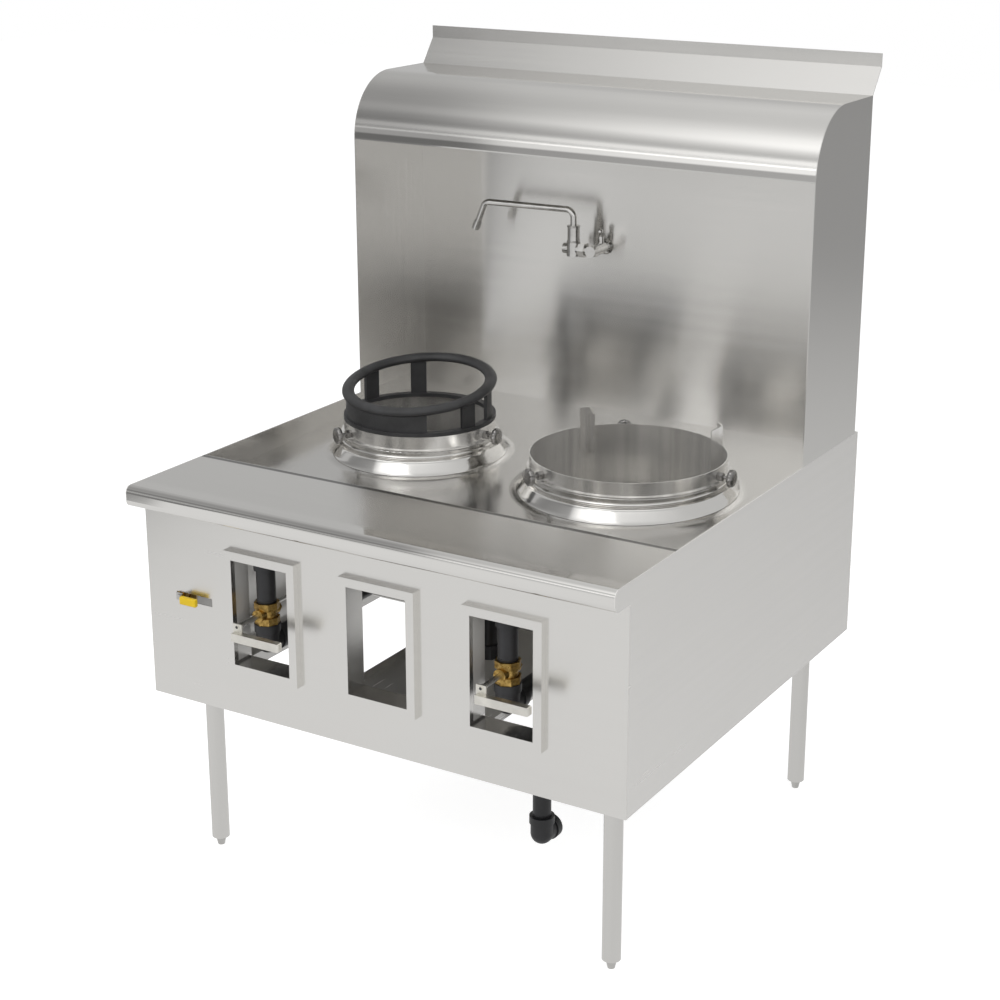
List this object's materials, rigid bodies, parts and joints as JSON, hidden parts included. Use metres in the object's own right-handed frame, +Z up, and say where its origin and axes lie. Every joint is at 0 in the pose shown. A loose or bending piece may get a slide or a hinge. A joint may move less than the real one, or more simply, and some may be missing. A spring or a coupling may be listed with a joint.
{
  "type": "wok range",
  "caption": "Stainless commercial wok range with a recessed deck, two round fire chambers, a curved rear riser, a swivel faucet and gas pipework seen through front windows.",
  "frame": {"origin": "on the floor, below the centre of the range's overall box", "axes": "+Z up; +X to the operator's right; +Y from the front panel to the rear splash"},
  "size_m": [1.2192, 1.269, 1.817],
  "materials": {
    "stainless": "satin brushed stainless sheet",
    "leg_steel": "polished stainless tube",
    "foot_steel": "turned stainless bullet foot",
    "black_pipe": "black painted gas pipe and fittings",
    "cast_iron": "black cast iron, fine grain",
    "brass": "dull cast brass",
    "plated_steel": "plated steel",
    "tubing": "bright drawn tube",
    "chrome": "chrome plate",
    "yellow_grip": "dipped yellow vinyl on a steel strip"
  },
  "bodies": {
    "range": {"side_panel_left": "stainless", "side_panel_right": "stainless", "front_panel": "stainless", "front_ledge": "stainless", "deck": "stainless", "back_panel": "stainless", "bottom_pan": "stainless", "base_channel_left": "stainless", "base_channel_right": "stainless", "cross_rails": "stainless", "window_frame_left": "stainless", "window_frame_middle": "stainless", "window_frame_right": "stainless", "riser_side_left": "stainless", "riser_side_right": "stainless", "back_splash": "stainless", "riser_back": "stainless", "canopy": "stainless", "chamber_left": "stainless", "chamber_right": "stainless", "collar_screws_left": "stainless", "collar_screws_right": "stainless", "leg_front_left": "leg_steel", "leg_front_right": "leg_steel", "leg_rear_left": "leg_steel", "leg_rear_right": "leg_steel", "manifold": "black_pipe", "manifold_caps": "black_pipe", "riser_pipe_left": "black_pipe", "riser_pipe_right": "black_pipe", "valve_elbow_left": "black_pipe", "valve_elbow_right": "black_pipe", "feed_pipe_left": "black_pipe", "feed_pipe_right": "black_pipe", "supply_pipe": "black_pipe", "supply_elbow": "black_pipe", "drop_pipe": "black_pipe", "inlet_elbow": "black_pipe", "sediment_trap": "black_pipe", "burner_left": "cast_iron", "burner_right": "cast_iron", "valve_body_left": "brass", "valve_body_right": "brass", "shutoff_valve": "brass", "burner_studs": "plated_steel", "pilot_tubing": "tubing", "faucet_shank": "chrome", "faucet_body": "chrome"},
    "handle_left": {"valve_handle_left": "plated_steel", "valve_stem_left": "plated_steel"},
    "handle_right": {"valve_handle_right": "plated_steel", "valve_stem_right": "plated_steel"},
    "pilot_lever": {"shutoff_lever": "yellow_grip"},
    "spout": {"faucet_spout": "chrome"},
    "tap_lever": {"faucet_lever": "chrome"},
    "ring": {"wok_ring": "cast_iron"},
    "foot_fl": {"foot_front_left": "foot_steel"},
    "foot_fr": {"foot_front_right": "foot_steel"},
    "foot_rl": {"foot_rear_left": "foot_steel"},
    "foot_rr": {"foot_rear_right": "foot_steel"}
  },
  "joints": [
    {"name": "handle_left_turn", "type": "hinge", "parent": "range", "child": "handle_left", "pos_m": [-0.303, -0.5505, 0.664], "axis": [0, 1, 0], "range_deg": [0, 90]},
    {"name": "handle_right_turn", "type": "hinge", "parent": "range", "child": "handle_right", "pos_m": [0.315, -0.5505, 0.664], "axis": [0, 1, 0], "range_deg": [0, 90]},
    {"name": "pilot_lever_turn", "type": "hinge", "parent": "range", "child": "pilot_lever", "pos_m": [-0.519, -0.5505, 0.6685], "axis": [0, 1, 0], "range_deg": [0, 90]},
    {"name": "spout_swing", "type": "hinge", "parent": "range", "child": "spout", "pos_m": [-0.12, 0.5095, 1.327], "axis": [0, 0, 1], "range_deg": [-10, 175]},
    {"name": "tap_turn", "type": "hinge", "parent": "range", "child": "tap_lever", "pos_m": [-0.066, 0.5515, 1.332], "axis": [0, 0, 1], "range_deg": [0, 90]},
    {"name": "ring_lift", "type": "slide", "parent": "range", "child": "ring", "axis": [0, 0, 1], "range_m": [0, 0.15]},
    {"name": "foot_fl_screw", "type": "slide", "parent": "range", "child": "foot_fl", "axis": [0, 0, -1], "range_m": [0, 0.038]},
    {"name": "foot_fr_screw", "type": "slide", "parent": "range", "child": "foot_fr", "axis": [0, 0, -1], "range_m": [0, 0.038]},
    {"name": "foot_rl_screw", "type": "slide", "parent": "range", "child": "foot_rl", "axis": [0, 0, -1], "range_m": [0, 0.038]},
    {"name": "foot_rr_screw", "type": "slide", "parent": "range", "child": "foot_rr", "axis": [0, 0, -1], "range_m": [0, 0.038]}
  ]
}
